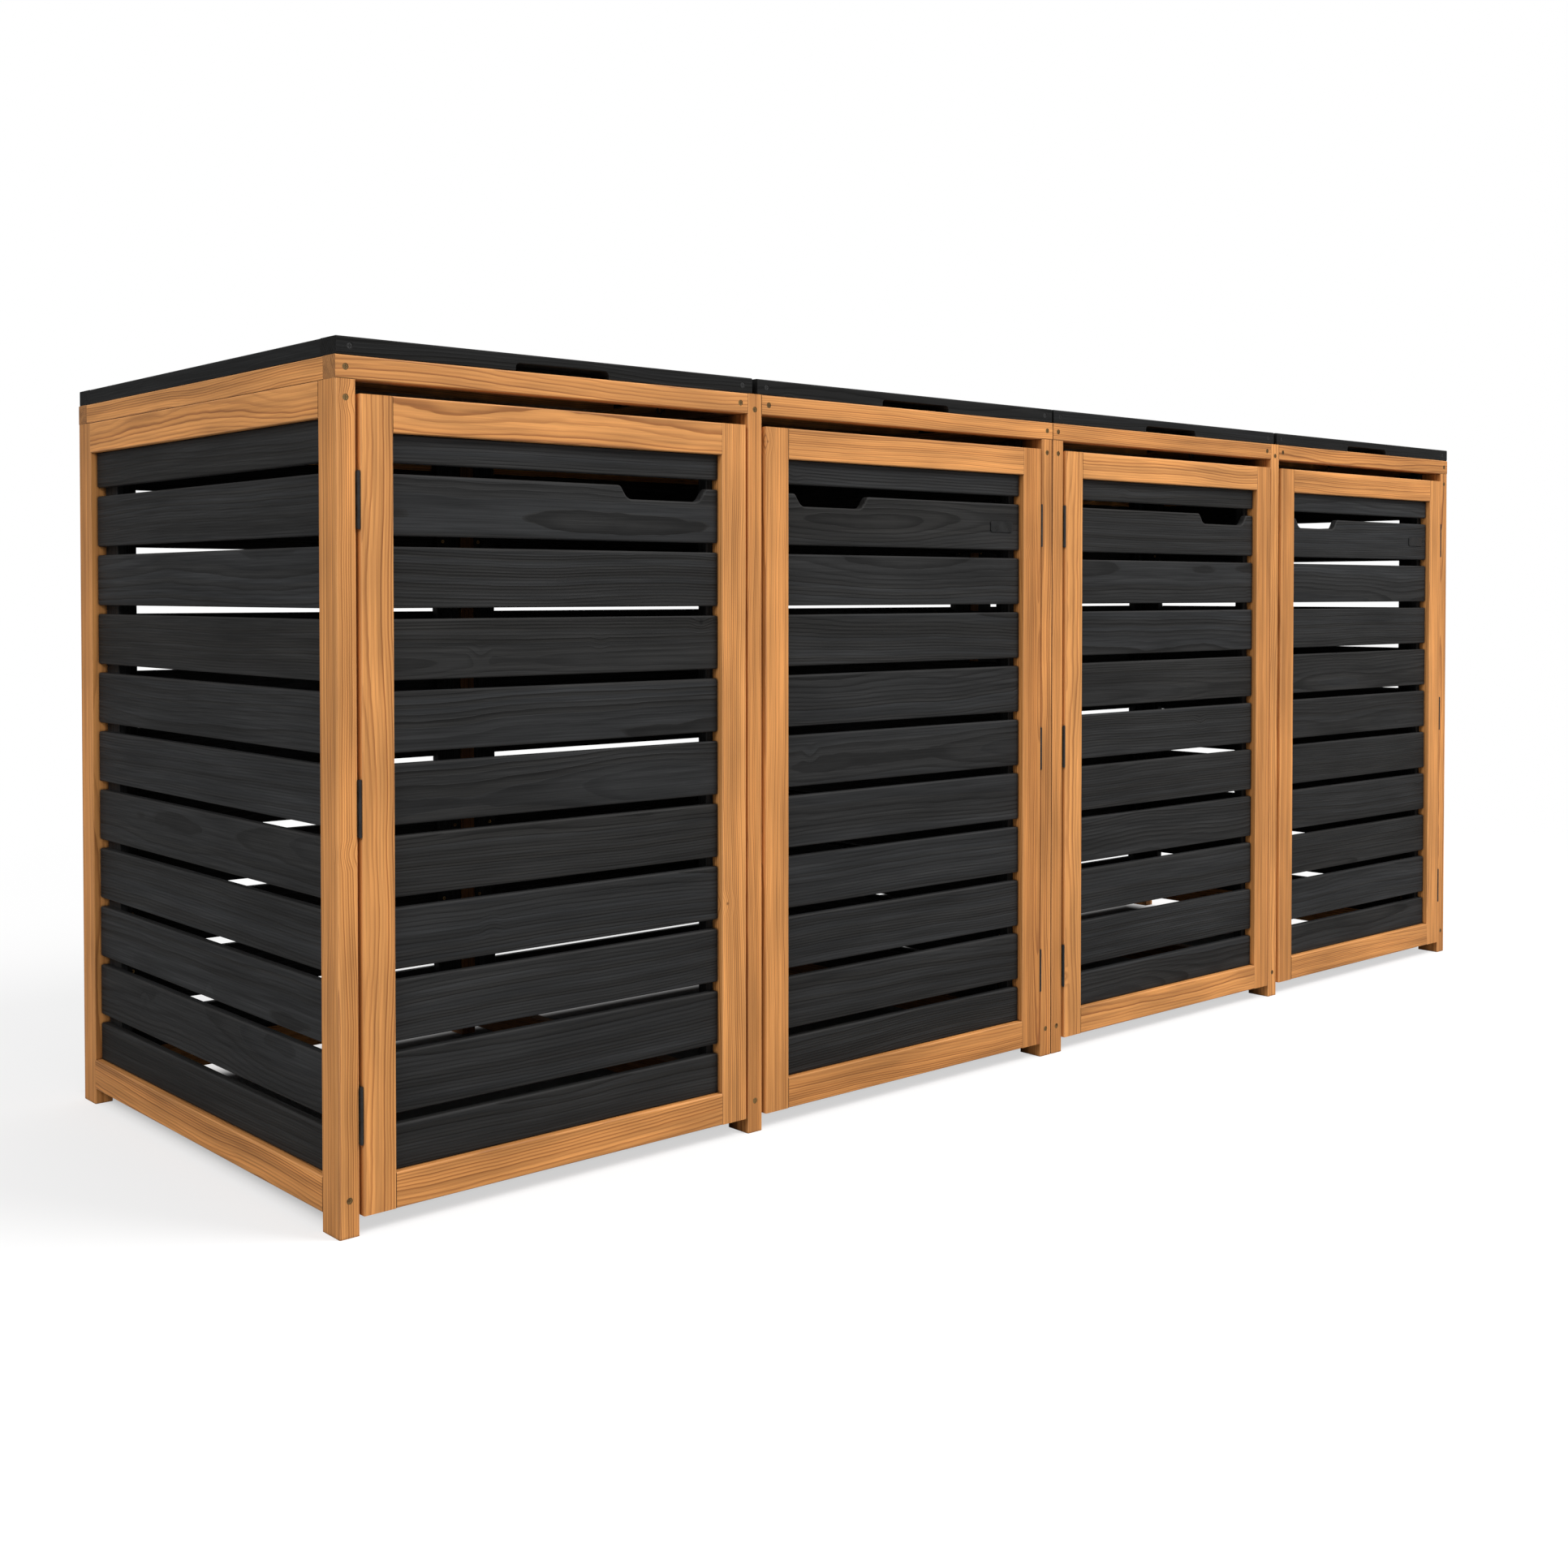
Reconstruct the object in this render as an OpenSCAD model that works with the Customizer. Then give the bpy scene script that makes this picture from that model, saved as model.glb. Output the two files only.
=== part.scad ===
// Bin store for four wheeled bins: two double units side by side, each bay with a door and a lid.
// Millimetres, +Z up, the doors face -Y, and the origin is on the ground under the middle of the store.

/* [Store] */
// Clear width between the posts of one bay
bay_w = 695; // [640:5:760]
// Depth from the front of the posts to the back of the posts
frame_d = 920; // [860:5:1000]
// Height from the ground to the top of the lids
total_h = 1220; // [1190:5:1300]
// Gap between the two double units
unit_gap = 2; // [1:0.5:6]

/* [Frame] */
// Width of a post, seen from the front
post_w = 30; // [30:1:36]
// Depth of a post, front to back
post_d = 50; // [48:1:60]
// Height of the rails of the side panels, back panels and divider
rail_h = 50; // [40:1:60]
// Clear height under the lowest rails and the doors
foot_h = 26; // [15:1:50]
// Height of the top frame's rails
top_rail_h = 32; // [26:1:40]
// Depth of the top frame's front and back rails
top_rail_d = 35; // [32:1:42]
// Radius of the eased long edges of posts and rails
edge_r = 2; // [1:0.5:3]

/* [Slats] */
// Height of a full slat
slat_h = 85; // [80:0.5:95]
// Gap between two slats
slat_gap = 15; // [8:0.5:16]
// Thickness of a slat
slat_t = 15; // [12:1:16]
// How far the slats lie behind the face of their frame
slat_recess = 11; // [8:1:12]
// Height of the underside of the lowest full slat, which the bottom rail cuts short
slat_z0 = 54; // [48:0.5:56]
// Width of the battens that hold the panel slats
panel_batten_w = 50; // [40:1:60]
// Width of the battens that hold the door slats
door_batten_w = 16; // [14:1:24]
// How far the door battens reach over the backs of the stiles
door_batten_lap = 4; // [3:1:8]
// Thickness of all battens
batten_t = 20; // [16:1:20]

/* [Doors] */
// Width of a door stile
stile_w = 50; // [44:1:60]
// How far the door faces stand in front of the posts
door_proud = 3; // [2:0.5:5]
// Gap between a door and the post that it hinges on
hinge_gap = 5; // [5:0.5:6]
// Gap between a door and the middle post
latch_gap = 6; // [4:0.5:8]
// Gap between a door and the top frame
door_top_gap = 19; // [12:1:24]
// Width of the finger notch along the top edge of its slat
notch_top_w = 167; // [160:1:180]
// Width of the finger notch at its bottom
notch_low_w = 138; // [120:1:142]
// Depth of the finger notch
notch_depth = 21; // [15:1:24]
// Distance from the finger notch to the end of its slat
notch_inset = 24; // [22:1:40]
// Radius of the finger notch's shoulders
notch_top_r = 7; // [4:1:8]
// Radius of the finger notch's bottom corners
notch_low_r = 17; // [10:1:18]

/* [Lids] */
// Thickness of a lid
lid_t = 25; // [22:1:30]
// Gap between the two lids of a unit
lid_mid_gap = 11; // [6:1:16]
// How far a lid stays back from the outside of its unit
lid_side_inset = 1.5; // [1:0.5:3]
// Width of the lid's frame rails
lid_rail_w = 46; // [40:1:50]
// Thickness of the lid's boards
board_t = 16; // [14:1:18]
// Number of boards in a lid
board_count = 7; // [5:1:8]
// Gap between two boards of a lid
board_gap = 4; // [2:0.5:6]
// Width of the handle recess under the lid's front edge
handle_w = 165; // [120:5:200]
// Height of the handle recess
handle_h = 12; // [9:1:14]
// Corner radius of the handle recess
handle_r = 7; // [4:1:8]

/* [Hardware] */
// Length of a hinge
hinge_l = 77; // [60:1:90]
// Height of the lowest door hinge above the ground
hinge_low_z = 164; // [140:1:220]
// Distance from the highest door hinge to the top of the door
hinge_high_inset = 143; // [120:1:200]
// Distance from a lid's end to the middle of its hinge
lid_hinge_inset = 120; // [90:5:180]
// Radius of a door hinge pin
door_pin_r = 1.2; // [1:0.1:1.3]
// Radius of a lid hinge pin
lid_pin_r = 1.6; // [1.4:0.1:1.8]
// Radius of a screw head
screw_head_r = 4.2; // [3.5:0.1:5]

/* [Hidden] */
$fn = 32;

// Colours: stained frame timber, dark stained slats, black steel, bright zinc, grey plate
timber = [0.74, 0.50, 0.29];
dark = [0.15, 0.15, 0.16];
steel = [0.10, 0.10, 0.11];
zinc = [0.72, 0.72, 0.74];
plate_grey = [0.30, 0.30, 0.32];

// Layout along X: one unit is post, bay, post, bay, post
unit_w = 2 * bay_w + 3 * post_w;
unit_x = [-unit_w - unit_gap / 2, unit_gap / 2];
post_x = [0, post_w + bay_w, 2 * (post_w + bay_w)];
rail_t = slat_recess + slat_t;
mid_x = unit_w / 2;
// Joint line where one timber butts against the next in the same frame
joint = 0.2;

// Heights
lid_z = total_h - lid_t;
post_h = lid_z - top_rail_h;
door_h = post_h - door_top_gap - foot_h;
slat_pitch = slat_h + slat_gap;
slat_count = ceil(total_h / slat_pitch);
shortest_slat = 15;

// Hinges: knuckle radii, axis places, leaf and knuckle sizes
door_knuckle_r = hinge_gap / 2 - 0.3;
door_axis_y = -door_proud / 2;
lid_knuckle_r = 3.2;
lid_axis_off = lid_knuckle_r + 0.4;
door_leaf_t = 1;
lid_leaf_t = 1.5;
door_leaf_reach = 22;
lid_leaf_reach = 20;
knuckles = 5;
knuckle_play = 0.3;
pin_play = 0.05;
pin_head_h = 1.2;
hinge_zs = [hinge_low_z,
            (hinge_low_z + foot_h + door_h - hinge_high_inset) / 2,
            foot_h + door_h - hinge_high_inset];

// Layout along Y: the frame is set so that the whole store, hinges included, is centred
front_out = door_axis_y - door_knuckle_r;
back_out = frame_d + lid_axis_off + lid_knuckle_r;
front_y = -(front_out + back_out) / 2;

// Screws: drilled pocket, sunk head, shank
pocket_r = screw_head_r + 0.4;
pocket_depth = 1.6;
head_sink = 0.6;
head_h = 1;
cone_h = 3;
shank_r = 2;
post_screw_l = 80;
top_screw_l = 60;
ring_screw_inset = 15;

// Bolts that join the two units through the rails of the side panels that meet
bolt_r = 4;
bolt_hole_r = 4.2;
bolt_head_r = 8;
bolt_head_h = 3;
bolt_end = 2;
nut_r = 7.5;
nut_bore_r = 4.1;
nut_h = 6.5;
bolt_ys = [160, frame_d - 160];
bolt_zs = [foot_h + rail_h / 2, post_h - rail_h / 2];

// Lid parts
lid_w = (unit_w - lid_mid_gap) / 2 - lid_side_inset;
board_w = (lid_w - 2 * lid_rail_w - (board_count + 1) * board_gap) / board_count;
lid_batten_w = 45;
lid_batten_end_gap = 20;
lid_batten_ys = [frame_d / 3, 2 * frame_d / 3];
lid_hinge_xs = [lid_hinge_inset, lid_w - lid_hinge_inset];
lid_screw_inset = 20;
lid_screw_l = 60;

// Magnetic catch, strike plate, blank plate, eye for the lid stay
catch_size = [16, 18, 46];
catch_z = 800;
catch_play = 0.3;
strike_size = [12, 1, 40];
strike_inset = 4;
plate_size = [60, 1.5, 20];
plate_inset = 20;
plate_r = 4;
eye_r = 5.5;
eye_wire_r = 1.5;
eye_y = 180;
eye_shank_l = 12;

// ---------- shared shapes ----------

// Points of a quarter round about a centre, from angle a to angle b
function arc(cx, cy, r, a, b, n = 6) = [for (i = [0 : n]) let (t = a + (b - a) * i / n)
  [cx + r * cos(t), cy + r * sin(t)]];

// Rectangle with eased corners, from the origin to (a, b)
module eased_rect(a, b, r = edge_r) {
  polygon(concat(arc(a - r, b - r, r, 0, 90, 3), arc(r, b - r, r, 90, 180, 3),
                 arc(r, r, r, 180, 270, 3), arc(a - r, r, r, 270, 360, 3)));
}

// Timbers with eased long edges, by the direction that they run in
module timber_x(size) {
  rotate([90, 0, 90]) linear_extrude(size[0]) eased_rect(size[1], size[2]);
}
module timber_y(size) {
  translate([0, size[1], 0]) rotate([90, 0, 0]) linear_extrude(size[1]) eased_rect(size[0], size[2]);
}
module timber_z(size) {
  linear_extrude(size[2]) eased_rect(size[0], size[1]);
}

// Heights of the slats between two rails, the first and last cut to fit
function slat_spans(low, high) = [for (i = [0 : slat_count]) let (
  z0 = max(low, slat_z0 + i * slat_pitch), z1 = min(high, slat_z0 + i * slat_pitch + slat_h))
  if (z1 - z0 > shortest_slat) [z0, z1]];

// Put the children in one unit's own frame: X from its left side, Y from the front of its posts
module in_unit(u) {
  translate([unit_x[u], front_y, 0]) children();
}

// Put the children in a bay's frame: X from the post that the door hinges on, towards the middle post
module in_bay(bay) {
  right = bay % 2;
  in_unit(floor(bay / 2))
    translate([right ? unit_w - post_w : post_w, 0, 0]) mirror([right, 0, 0]) children();
}

// ---------- screws, in pockets drilled into the faces of the timbers ----------

// Drilled pocket for a screw head, entering along +Y from the face
module pocket() {
  rotate([-90, 0, 0]) translate([0, 0, -1]) cylinder(r = pocket_r, h = pocket_depth + 1);
}

// Countersunk screw with a cross recess, driven along +Y
module screw(length) {
  rotate([-90, 0, 0]) translate([0, 0, head_sink]) {
    difference() {
      cylinder(r = screw_head_r, h = head_h);
      for (turn = [0, 90]) rotate([0, 0, turn]) translate([-2.6, -0.5, -1]) cube([5.2, 1, 1.6]);
    }
    translate([0, 0, head_h]) cylinder(r1 = screw_head_r, r2 = shank_r, h = cone_h);
    translate([0, 0, head_h + cone_h]) cylinder(r = shank_r, h = length - cone_h);
  }
}

// Put the children on both faces of the frame, front and back, at one place
module front_and_back(x, z) {
  translate([x, 0, z]) children();
  translate([x, frame_d, z]) mirror([0, 1, 0]) children();
}

// The screws that hold the rails between the posts
module at_post_screws() {
  for (i = [0 : 2], z = [foot_h + rail_h / 2, (i == 1 ? lid_z : post_h) - rail_h / 2])
    front_and_back(post_x[i] + post_w / 2, z) children();
}

// The screws at the corners of the top frames
module at_top_screws() {
  for (side = [0, 1], x = [ring_screw_inset, post_w + bay_w - ring_screw_inset])
    front_and_back(side * post_x[1] + side * post_w + x, post_h + top_rail_h / 2) children();
}

// The screws at the front corners of a lid
module at_lid_screws() {
  for (x = [lid_screw_inset, lid_w - lid_screw_inset])
    translate([x, 0, lid_t / 2]) children();
}

// ---------- one unit's frame ----------

module posts(u) {
  in_unit(u) color(timber) difference() {
    for (i = [0 : 2], y = [0, frame_d - post_d]) translate([post_x[i], y, 0])
      timber_z([post_w, post_d, i == 1 ? lid_z : post_h]);
    at_post_screws() pocket();
  }
}

// Each bay has its own rectangle of top rails, between the middle post and the outside
module top_frame(u) {
  in_unit(u) color(timber) difference() {
    for (side = [0, 1]) translate([side * (post_x[1] + post_w), 0, post_h]) {
      for (y = [0, frame_d - top_rail_d]) translate([0, y, 0])
        timber_x([post_w + bay_w, top_rail_d, top_rail_h]);
      for (x = [0, bay_w]) translate([x, top_rail_d + joint, 0])
        timber_y([post_w, frame_d - 2 * (top_rail_d + joint), top_rail_h]);
    }
    at_top_screws() pocket();
  }
}

// Front-to-back rails of the two side panels and of the open divider
module cross_rails(u) {
  in_unit(u) color(timber) difference() {
    for (x = [0, mid_x - rail_t / 2, unit_w - rail_t],
         z = [foot_h, (x > 0 && x < mid_x ? lid_z : post_h) - rail_h])
      translate([x, post_d, z]) timber_y([rail_t, frame_d - 2 * post_d, rail_h]);
    for (y = bolt_ys, z = bolt_zs) translate([u == 0 ? mid_x + post_w : -1, y, z])
      rotate([0, 90, 0]) cylinder(r = bolt_hole_r, h = mid_x - post_w + 1);
  }
}

module back_rails(u) {
  in_unit(u) color(timber)
    for (side = [0, 1], z = [foot_h, post_h - rail_h])
      translate([post_x[side] + post_w, frame_d - rail_t, z]) timber_x([bay_w, rail_t, rail_h]);
}

module side_slats(u) {
  in_unit(u) color(dark)
    for (x = [slat_recess, unit_w - rail_t], span = slat_spans(foot_h + rail_h, post_h - rail_h))
      translate([x, post_d, span[0]]) cube([slat_t, frame_d - 2 * post_d, span[1] - span[0]]);
}

module back_slats(u) {
  in_unit(u) color(dark)
    for (side = [0, 1], span = slat_spans(foot_h + rail_h, post_h - rail_h))
      translate([post_x[side] + post_w, frame_d - rail_t, span[0]])
        cube([bay_w, slat_t, span[1] - span[0]]);
}

// Upright battens inside the panels, behind the slat ends
module battens(u) {
  tall = post_h - foot_h;
  in_unit(u) color(dark) translate([0, 0, foot_h]) {
    for (x = [rail_t, unit_w - rail_t - batten_t], y = [post_d, frame_d - post_d - panel_batten_w])
      translate([x, y, 0]) cube([batten_t, panel_batten_w, tall]);
    for (side = [0, 1], x = [0, bay_w - panel_batten_w])
      translate([post_x[side] + post_w + x, frame_d - rail_t - batten_t, 0])
        cube([panel_batten_w, batten_t, tall]);
  }
}

// ---------- hinges ----------

// One leaf of a butt hinge: the pin lies along Z through the origin, the leaf is flat on the
// plane x = -face and reaches along +Y, and own lists the knuckles that it carries
module hinge_leaf(knuckle_r, face, leaf_t, reach, bore_r, own) {
  pitch = (hinge_l + knuckle_play) / knuckles;
  root = knuckle_r + 0.4;
  lap = 0.5;
  difference() {
    union() {
      translate([-face, root, -hinge_l / 2]) cube([leaf_t, reach - root, hinge_l]);
      for (i = own) translate([0, 0, -hinge_l / 2 + i * pitch]) {
        cylinder(r = knuckle_r, h = pitch - knuckle_play);
        translate([-face, 0, 0]) cube([leaf_t, root + lap, pitch - knuckle_play]);
      }
    }
    translate([0, 0, -hinge_l]) cylinder(r = bore_r, h = 2 * hinge_l);
  }
}

// Pin with a button head at each end
module hinge_pin(pin_r, head_r) {
  cylinder(r = pin_r, h = hinge_l, center = true);
  for (end = [0, 1]) mirror([0, 0, end]) translate([0, 0, hinge_l / 2])
    cylinder(r = head_r, h = pin_head_h);
}

// Places of a door's hinges, and of a lid's hinges with +Y of the hinge pointing down
module at_door_hinges(bay) {
  in_bay(bay) for (z = hinge_zs) translate([hinge_gap / 2, door_axis_y, z]) children();
}
module at_lid_hinges(lid) {
  in_lid(lid) for (x = lid_hinge_xs) translate([x, frame_d + lid_axis_off, 0])
    rotate([-90, 0, 90]) children();
}

module door_leaf(play, own) {
  hinge_leaf(door_knuckle_r, hinge_gap / 2, door_leaf_t, door_leaf_reach, door_pin_r + play, own);
}
module lid_leaf(play, own) {
  hinge_leaf(lid_knuckle_r, lid_axis_off, lid_leaf_t, lid_leaf_reach, lid_pin_r + play, own);
}

module door_hinge_fixed_leaves() {
  color(steel) for (bay = [0 : 3]) at_door_hinges(bay) door_leaf(0, [0, 2, 4]);
}

module lid_hinge_fixed_leaves() {
  color(steel) for (lid = [0 : 3]) at_lid_hinges(lid) lid_leaf(0, [0, 2, 4]);
}

module hinge_pins() {
  color(steel) for (bay = [0 : 3]) {
    at_door_hinges(bay) hinge_pin(door_pin_r, door_knuckle_r - 0.2);
    at_lid_hinges(bay) hinge_pin(lid_pin_r, lid_knuckle_r - 0.4);
  }
}

// ---------- small parts of the frame ----------

module frame_screws() {
  color(zinc) for (u = [0, 1]) in_unit(u) {
    at_post_screws() screw(post_screw_l);
    at_top_screws() screw(top_screw_l);
  }
}

module magnet_catches() {
  color(steel) for (bay = [0 : 3]) in_bay(bay)
    translate([bay_w - catch_size[0], rail_t - door_proud + strike_size[1] + catch_play,
               catch_z - catch_size[2] / 2]) cube(catch_size);
}

// Screw eyes in the top frames beside the middle post, for the stays that hold the lids open
module lid_stay_eyes() {
  color(steel) for (bay = [0 : 3]) in_bay(bay)
    translate([bay_w - post_w - eye_r - 2 * eye_wire_r, eye_y, post_h + top_rail_h / 2]) {
      rotate([90, 0, 0]) rotate_extrude() translate([eye_r, 0]) circle(r = eye_wire_r);
      translate([eye_r, 0, 0]) rotate([0, 90, 0])
        cylinder(r = eye_wire_r, h = 2 * eye_wire_r + eye_shank_l);
    }
}

// Coach bolts from the left unit's side rails into the right unit's, each with a nut
module unit_bolts() {
  grip = rail_t + unit_gap / 2;
  color(zinc) for (y = bolt_ys, z = bolt_zs)
    translate([-grip, front_y + y, z]) rotate([0, 90, 0]) {
      translate([0, 0, -bolt_head_h]) cylinder(r = bolt_head_r, h = bolt_head_h);
      cylinder(r = bolt_r, h = 2 * grip + nut_h + bolt_end);
      translate([0, 0, 2 * grip]) difference() {
        cylinder(r = nut_r, h = nut_h, $fn = 6);
        translate([0, 0, -1]) cylinder(r = nut_bore_r, h = nut_h + 2);
      }
    }
}

// ---------- doors, in the bay's frame ----------

door_w = bay_w - hinge_gap - latch_gap;
latch_edge = bay_w - latch_gap;
door_back = rail_t - door_proud;

module door_stiles(bay) {
  in_bay(bay) color(timber)
    for (x = [hinge_gap, latch_edge - stile_w]) translate([x, -door_proud, foot_h])
      timber_z([stile_w, rail_t, door_h]);
}

module door_rails(bay) {
  in_bay(bay) color(timber)
    for (z = [foot_h, foot_h + door_h - rail_h]) translate([hinge_gap + stile_w, -door_proud, z])
      timber_x([door_w - 2 * stile_w, rail_t, rail_h]);
}

// Left half of the notch's outline: over the round shoulder, down the slope, into the round corner
function notch_half() = let (
  slope = atan2(notch_depth, (notch_top_w - notch_low_w) / 2),
  top_x = -notch_top_w / 2 - notch_top_r * tan(slope / 2),
  low_x = -notch_low_w / 2 + notch_low_r * tan(slope / 2))
  concat([[top_x, 1]], arc(top_x, -notch_top_r, notch_top_r, 90, 90 - slope),
         arc(low_x, notch_low_r - notch_depth, notch_low_r, 270 - slope, 270));

module notch() {
  half = notch_half();
  rotate([90, 0, 0]) linear_extrude(3 * slat_t, center = true)
    polygon(concat(half, [for (i = [len(half) - 1 : -1 : 0]) [-half[i][0], half[i][1]]]));
}

module door_slats(bay) {
  spans = slat_spans(foot_h + rail_h, foot_h + door_h - rail_h);
  notched = len(spans) - 2;
  left = hinge_gap + stile_w;
  in_bay(bay) color(dark) difference() {
    for (span = spans) translate([left, slat_recess - door_proud, span[0]])
      cube([door_w - 2 * stile_w, slat_t, span[1] - span[0]]);
    translate([latch_edge - stile_w - notch_inset - notch_top_w / 2, slat_recess, spans[notched][1]])
      notch();
  }
}

module door_battens(bay) {
  short = 15;
  side = stile_w - door_batten_lap;
  in_bay(bay) color(dark)
    for (x = [hinge_gap + side, latch_edge - side - door_batten_w])
      translate([x, door_back, foot_h + short]) cube([door_batten_w, batten_t, door_h - 2 * short]);
}

// Moving hinge leaves and the strike plate that the magnet holds
module door_fittings(bay) {
  color(steel) at_door_hinges(bay) mirror([1, 0, 0]) door_leaf(pin_play, [1, 3]);
  color(steel) in_bay(bay)
    translate([latch_edge - strike_inset - strike_size[0], door_back, catch_z - strike_size[2] / 2])
      cube(strike_size);
}

// Blank plate on the second slat from the top
module door_plate(bay) {
  spans = slat_spans(foot_h + rail_h, foot_h + door_h - rail_h);
  span = spans[len(spans) - 2];
  in_bay(bay) color(plate_grey)
    translate([hinge_gap + stile_w + plate_inset, slat_recess - door_proud,
               (span[0] + span[1] - plate_size[2]) / 2])
      rotate([90, 0, 0]) linear_extrude(plate_size[1]) eased_rect(plate_size[0], plate_size[2], plate_r);
}

// ---------- lids, each in its own frame: X from the outside of its unit, Z from the underside ----------

module in_lid(lid) {
  right = lid % 2;
  in_unit(floor(lid / 2))
    translate([right ? unit_w - lid_side_inset : lid_side_inset, 0, lid_z])
      mirror([right, 0, 0]) children();
}

// Outline of the handle recess, cut up into the front rail from below
module handle_recess() {
  half = handle_w / 2 - handle_r;
  rotate([90, 0, 0]) linear_extrude(3 * lid_rail_w, center = true)
    polygon(concat([[handle_w / 2, -1]], arc(half, handle_h - handle_r, handle_r, 0, 90),
                   arc(-half, handle_h - handle_r, handle_r, 90, 180), [[-handle_w / 2, -1]]));
}

module lid_frame(lid) {
  in_lid(lid) color(dark) difference() {
    union() {
      for (y = [0, frame_d - lid_rail_w]) translate([0, y, 0]) timber_x([lid_w, lid_rail_w, lid_t]);
      for (x = [0, lid_w - lid_rail_w]) translate([x, lid_rail_w + joint, 0])
        timber_y([lid_rail_w, frame_d - 2 * (lid_rail_w + joint), lid_t]);
    }
    translate([lid_w / 2, lid_rail_w / 2, 0]) handle_recess();
    at_lid_screws() pocket();
  }
}

module lid_boards(lid) {
  in_lid(lid) color(dark)
    for (i = [0 : board_count - 1])
      translate([lid_rail_w + board_gap + i * (board_w + board_gap), lid_rail_w, lid_t - board_t])
        cube([board_w, frame_d - 2 * lid_rail_w, board_t]);
}

module lid_battens(lid) {
  in_lid(lid) color(timber)
    for (y = lid_batten_ys)
      translate([lid_rail_w + lid_batten_end_gap, y - lid_batten_w / 2, lid_t - board_t - batten_t])
        cube([lid_w - 2 * (lid_rail_w + lid_batten_end_gap), lid_batten_w, batten_t]);
}

// Moving hinge leaves and the screws at the lid's front corners
module lid_fittings(lid) {
  color(steel) at_lid_hinges(lid) mirror([0, 1, 0]) lid_leaf(pin_play, [1, 3]);
  color(zinc) in_lid(lid) at_lid_screws() screw(lid_screw_l);
}

// ---------- the model ----------

posts(0);  // left_unit_posts
top_frame(0);  // left_unit_top_frame
cross_rails(0);  // left_unit_cross_rails
back_rails(0);  // left_unit_back_rails
side_slats(0);  // left_unit_side_slats
back_slats(0);  // left_unit_back_slats
battens(0);  // left_unit_battens
posts(1);  // right_unit_posts
top_frame(1);  // right_unit_top_frame
cross_rails(1);  // right_unit_cross_rails
back_rails(1);  // right_unit_back_rails
side_slats(1);  // right_unit_side_slats
back_slats(1);  // right_unit_back_slats
battens(1);  // right_unit_battens
door_hinge_fixed_leaves();
lid_hinge_fixed_leaves();
hinge_pins();
frame_screws();
magnet_catches();
lid_stay_eyes();
unit_bolts();
door_stiles(0);  // door_1_stiles
door_rails(0);  // door_1_rails
door_slats(0);  // door_1_slats
door_battens(0);  // door_1_battens
door_fittings(0);  // door_1_fittings
door_stiles(1);  // door_2_stiles
door_rails(1);  // door_2_rails
door_slats(1);  // door_2_slats
door_battens(1);  // door_2_battens
door_fittings(1);  // door_2_fittings
door_plate(1);  // door_2_plate
door_stiles(2);  // door_3_stiles
door_rails(2);  // door_3_rails
door_slats(2);  // door_3_slats
door_battens(2);  // door_3_battens
door_fittings(2);  // door_3_fittings
door_stiles(3);  // door_4_stiles
door_rails(3);  // door_4_rails
door_slats(3);  // door_4_slats
door_battens(3);  // door_4_battens
door_fittings(3);  // door_4_fittings
door_plate(3);  // door_4_plate
lid_frame(0);  // lid_1_frame
lid_boards(0);  // lid_1_boards
lid_battens(0);  // lid_1_battens
lid_fittings(0);  // lid_1_fittings
lid_frame(1);  // lid_2_frame
lid_boards(1);  // lid_2_boards
lid_battens(1);  // lid_2_battens
lid_fittings(1);  // lid_2_fittings
lid_frame(2);  // lid_3_frame
lid_boards(2);  // lid_3_boards
lid_battens(2);  // lid_3_battens
lid_fittings(2);  // lid_3_fittings
lid_frame(3);  // lid_4_frame
lid_boards(3);  // lid_4_boards
lid_battens(3);  // lid_4_battens
lid_fittings(3);  // lid_4_fittings
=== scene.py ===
import math

import bmesh
import bpy
from mathutils import Matrix, Vector


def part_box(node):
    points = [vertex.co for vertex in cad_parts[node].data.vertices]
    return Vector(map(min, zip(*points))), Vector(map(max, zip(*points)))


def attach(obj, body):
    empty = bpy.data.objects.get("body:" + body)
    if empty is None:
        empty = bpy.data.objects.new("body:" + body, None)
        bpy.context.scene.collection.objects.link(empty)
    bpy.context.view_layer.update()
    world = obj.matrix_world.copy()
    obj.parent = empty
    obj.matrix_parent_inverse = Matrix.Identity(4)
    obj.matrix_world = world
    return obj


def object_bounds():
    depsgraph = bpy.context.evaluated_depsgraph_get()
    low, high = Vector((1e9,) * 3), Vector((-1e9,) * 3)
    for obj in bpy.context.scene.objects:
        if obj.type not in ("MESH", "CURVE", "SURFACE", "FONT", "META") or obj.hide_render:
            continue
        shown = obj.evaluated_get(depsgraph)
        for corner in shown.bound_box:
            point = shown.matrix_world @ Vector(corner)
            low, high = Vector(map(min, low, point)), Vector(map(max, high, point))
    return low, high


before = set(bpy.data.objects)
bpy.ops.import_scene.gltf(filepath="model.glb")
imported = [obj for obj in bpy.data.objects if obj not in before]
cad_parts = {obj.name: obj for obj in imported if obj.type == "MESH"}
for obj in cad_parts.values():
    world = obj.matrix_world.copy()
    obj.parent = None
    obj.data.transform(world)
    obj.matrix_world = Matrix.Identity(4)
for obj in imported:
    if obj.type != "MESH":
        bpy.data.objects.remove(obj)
cad_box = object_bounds()

# ---------------------------------------------------------------- sizes, in metres and radians

LOW, HIGH = cad_box
MIDDLE = (LOW + HIGH) / 2
BAYS = range(1, 5)
WELD_REACH = 1e-5

# how far the arrises are rounded
SLAT_EDGE = 0.003
LID_EDGE = 0.0015
BATTEN_EDGE = 0.0015
BEVEL_STEPS = 3
FLAT_ANGLE = math.radians(1)
ARRIS_ANGLE = math.radians(40)

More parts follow.
